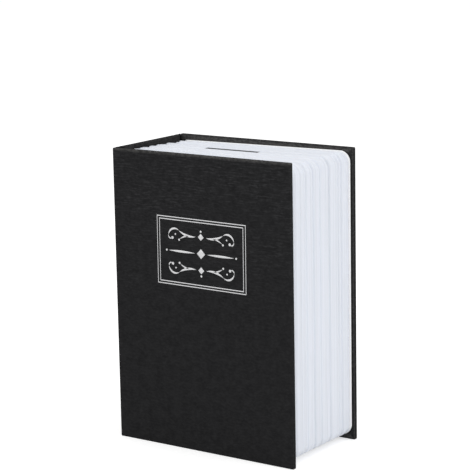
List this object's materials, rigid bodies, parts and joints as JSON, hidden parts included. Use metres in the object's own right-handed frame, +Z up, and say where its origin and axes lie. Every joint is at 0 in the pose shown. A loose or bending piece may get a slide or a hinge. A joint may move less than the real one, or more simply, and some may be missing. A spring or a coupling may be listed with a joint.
{
  "type": "book diversion safe",
  "caption": "Small book-shaped safe with a hinged cloth cover, moulded page block with a coin slot, and a lockable steel cash tray.",
  "frame": {"origin": "middle of the base, on the surface that the closed book stands on", "axes": "+Z up the book, +X from the spine to the fore-edge, +Y from the front cover to the back cover"},
  "size_m": [0.0814, 0.0457, 0.115],
  "materials": {
    "cover_cloth": "dark grey linen book cloth with a horizontal slub",
    "board": "grey binder's board",
    "lining": "matte black paper",
    "foil": "silver stamping foil",
    "pages": "satin white moulding, ribbed like page edges",
    "black_paint": "fine black powder coat on sheet steel",
    "zinc_plate": "bright zinc plate",
    "chrome": "polished chrome plate",
    "brass": "turned brass"
  },
  "bodies": {
    "case": {"page_shell": "pages", "page_rear_plate": "pages", "steel_tray": "black_paint", "strike_bracket": "zinc_plate", "hinge_tray_leaf": "zinc_plate", "hinge_pin": "zinc_plate", "tray_rivet_1": "zinc_plate", "tray_rivet_2": "zinc_plate", "tray_rivet_3": "zinc_plate", "tray_rivet_4": "zinc_plate", "back_cover_cloth": "cover_cloth", "back_board": "board", "back_lining": "lining", "spine_cloth": "cover_cloth", "spine_board": "board", "spine_lining": "lining", "front_joint_cloth": "cover_cloth", "back_joint_cloth": "cover_cloth"},
    "front_cover": {"front_cover_cloth": "cover_cloth", "front_board": "board", "front_lining": "lining", "title_frame_outer": "foil", "title_frame_inner": "foil", "title_rule_top": "foil", "title_rule_middle": "foil", "title_rule_bottom": "foil"},
    "door": {"steel_door": "black_paint", "hinge_door_leaf": "zinc_plate", "hinge_rivet_1": "zinc_plate", "hinge_rivet_2": "zinc_plate", "hinge_rivet_3": "zinc_plate", "hinge_rivet_4": "zinc_plate", "lock_barrel": "chrome", "lock_washer": "zinc_plate", "lock_nut": "zinc_plate"},
    "plug": {"lock_plug": "brass", "lock_wafer_1": "brass", "lock_wafer_2": "brass", "lock_wafer_3": "brass", "lock_wafer_4": "brass", "lock_cam": "zinc_plate", "cam_screw": "zinc_plate"}
  },
  "joints": [
    {"name": "cover_hinge", "type": "hinge", "parent": "case", "child": "front_cover", "pos_m": [-0.0407, -0.0192, 0.0575], "axis": [0, 0, -1], "range_deg": [0, 175], "deforming": ["front_joint_cloth"]},
    {"name": "door_hinge", "type": "hinge", "parent": "case", "child": "door", "pos_m": [-0.0317, -0.0186, 0.0577], "axis": [0, 0, -1], "range_deg": [0, 105]},
    {"name": "lock_turn", "type": "hinge", "parent": "door", "child": "plug", "pos_m": [0.0245, -0.0123, 0.0577], "axis": [0, -1, 0], "range_deg": [0, 90]}
  ],
  "couplings": [
    {"joint": "door_hinge", "follows": "cover_hinge", "ratio": 0.6}
  ]
}
